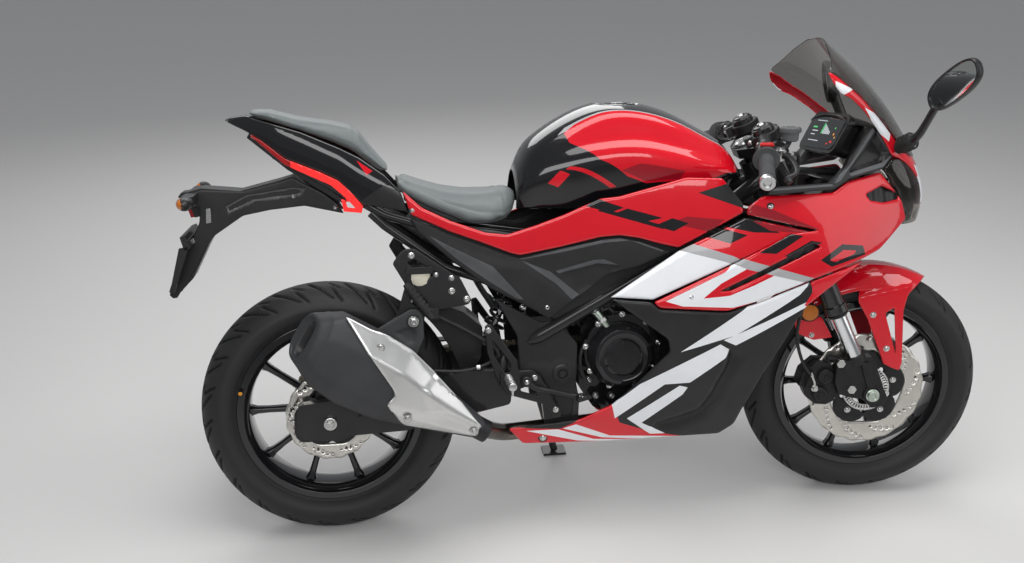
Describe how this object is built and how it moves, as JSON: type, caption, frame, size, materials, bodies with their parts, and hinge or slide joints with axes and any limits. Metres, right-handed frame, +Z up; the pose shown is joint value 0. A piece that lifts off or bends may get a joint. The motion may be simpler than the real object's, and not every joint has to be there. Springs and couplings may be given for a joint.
{
  "type": "sport motorcycle",
  "caption": "Fully faired sport motorcycle parked on its side stand, with freely turning wheels, steering that turns between its stops and a stand that folds up.",
  "frame": {"origin": "Middle of the parked machine's bounding box in plan, on the floor it stands on.", "axes": "+X forward along the machine, +Y to its left, +Z up. The machine leans 10.7 degrees to its left, onto its side stand."},
  "size_m": [2.036, 0.7564, 1.1792],
  "materials": {
    "rear_tyre": "rubber",
    "front_tyre": "rubber",
    "rear_rim": "gloss black",
    "front_rim": "gloss black",
    "front_disc": "ground steel",
    "rear_disc": "ground steel",
    "front_axle": "zinc plated",
    "rear_axle": "zinc plated",
    "drive_chain": "oiled steel",
    "rear_sprocket": "steel",
    "main_frame": "satin black",
    "subframe": "satin black",
    "swingarm": "satin black",
    "crankcase": "satin black cast",
    "cylinder_head": "satin black cast",
    "clutch_cover": "satin black",
    "left_engine_covers": "satin black",
    "radiator": "black core",
    "muffler": "matte dark grey",
    "exhaust_header": "heat stained",
    "muffler_shield": "satin",
    "side_fairing_right": "gloss red",
    "side_fairing_left": "gloss red",
    "lower_fairing_right": "satin black",
    "lower_fairing_left": "satin black",
    "side_panel_right": "gloss red",
    "side_panel_left": "gloss red",
    "side_covers": "matte black",
    "fuel_tank": "gloss red and black",
    "fuel_cap": "satin",
    "rider_seat": "grey-green vinyl",
    "pillion_seat": "grey-green vinyl",
    "tail_cowl": "gloss black",
    "tail_light": "red lens",
    "undertray": "matte black",
    "plate_hanger": "satin black",
    "rear_indicators": "smoked lens",
    "nose_cowl": "gloss red",
    "headlights": "smoked lens",
    "windscreen": "smoked",
    "instrument_panel": "matte black",
    "fairing_stay": "satin black",
    "cockpit_panels": "matte black",
    "mirrors": "gloss black",
    "rear_shock": "black spring",
    "rearset_right": "satin black",
    "rearset_left": "satin black",
    "pillion_peg_hangers": "satin black",
    "foot_levers": "satin black",
    "rear_caliper": "satin black",
    "fork_legs": "black tubes and bright sliders",
    "lower_yoke": "satin black",
    "upper_yoke": "satin black",
    "handlebars": "black bar, grey grips",
    "brake_lever": "satin",
    "clutch_lever": "satin",
    "front_fender": "gloss red",
    "front_caliper": "satin black",
    "side_stand": "satin black"
  },
  "bodies": {
    "chassis": {"rear_axle": "rear_axle", "drive_chain": "drive_chain", "main_frame": "main_frame", "subframe": "subframe", "swingarm": "swingarm", "crankcase": "crankcase", "cylinder_head": "cylinder_head", "clutch_cover": "clutch_cover", "left_engine_covers": "left_engine_covers", "radiator": "radiator", "muffler": "muffler", "exhaust_header": "exhaust_header", "muffler_shield": "muffler_shield", "side_fairing_right": "side_fairing_right", "side_fairing_left": "side_fairing_left", "lower_fairing_right": "lower_fairing_right", "lower_fairing_left": "lower_fairing_left", "side_panel_right": "side_panel_right", "side_panel_left": "side_panel_left", "side_covers": "side_covers", "fuel_tank": "fuel_tank", "fuel_cap": "fuel_cap", "rider_seat": "rider_seat", "pillion_seat": "pillion_seat", "tail_cowl": "tail_cowl", "tail_light": "tail_light", "undertray": "undertray", "plate_hanger": "plate_hanger", "rear_indicators": "rear_indicators", "nose_cowl": "nose_cowl", "headlights": "headlights", "windscreen": "windscreen", "instrument_panel": "instrument_panel", "fairing_stay": "fairing_stay", "cockpit_panels": "cockpit_panels", "mirrors": "mirrors", "rear_shock": "rear_shock", "rearset_right": "rearset_right", "rearset_left": "rearset_left", "pillion_peg_hangers": "pillion_peg_hangers", "foot_levers": "foot_levers", "rear_caliper": "rear_caliper"},
    "front_wheel": {"front_tyre": "front_tyre", "front_rim": "front_rim", "front_disc": "front_disc"},
    "rear_wheel": {"rear_tyre": "rear_tyre", "rear_rim": "rear_rim", "rear_disc": "rear_disc", "rear_sprocket": "rear_sprocket"},
    "steering": {"front_axle": "front_axle", "fork_legs": "fork_legs", "lower_yoke": "lower_yoke", "upper_yoke": "upper_yoke", "handlebars": "handlebars", "brake_lever": "brake_lever", "clutch_lever": "clutch_lever", "front_fender": "front_fender", "front_caliper": "front_caliper"},
    "side_stand": {"side_stand": "side_stand"}
  },
  "joints": [
    {"name": "steering_head", "type": "hinge", "parent": "chassis", "child": "steering", "pos_m": [0.43516, -0.03141, 0.82569], "axis": [-0.4155, 0.1689, 0.8938], "range_deg": [-20, 36]},
    {"name": "front_wheel_spin", "type": "hinge", "parent": "steering", "child": "front_wheel", "pos_m": [0.71803, -0.13574, 0.30002], "axis": [0.1267, 0.9838, -0.127], "continuous": true},
    {"name": "rear_wheel_spin", "type": "hinge", "parent": "chassis", "child": "rear_wheel", "pos_m": [-0.65667, -0.12852, 0.31084], "axis": [0.0002, 0.9826, -0.1857], "continuous": true},
    {"name": "side_stand_fold", "type": "hinge", "parent": "chassis", "child": "side_stand", "pos_m": [-0.11663, 0.00282, 0.26309], "axis": [0.0603, 0.9546, 0.2918], "range_deg": [0, 96]}
  ]
}
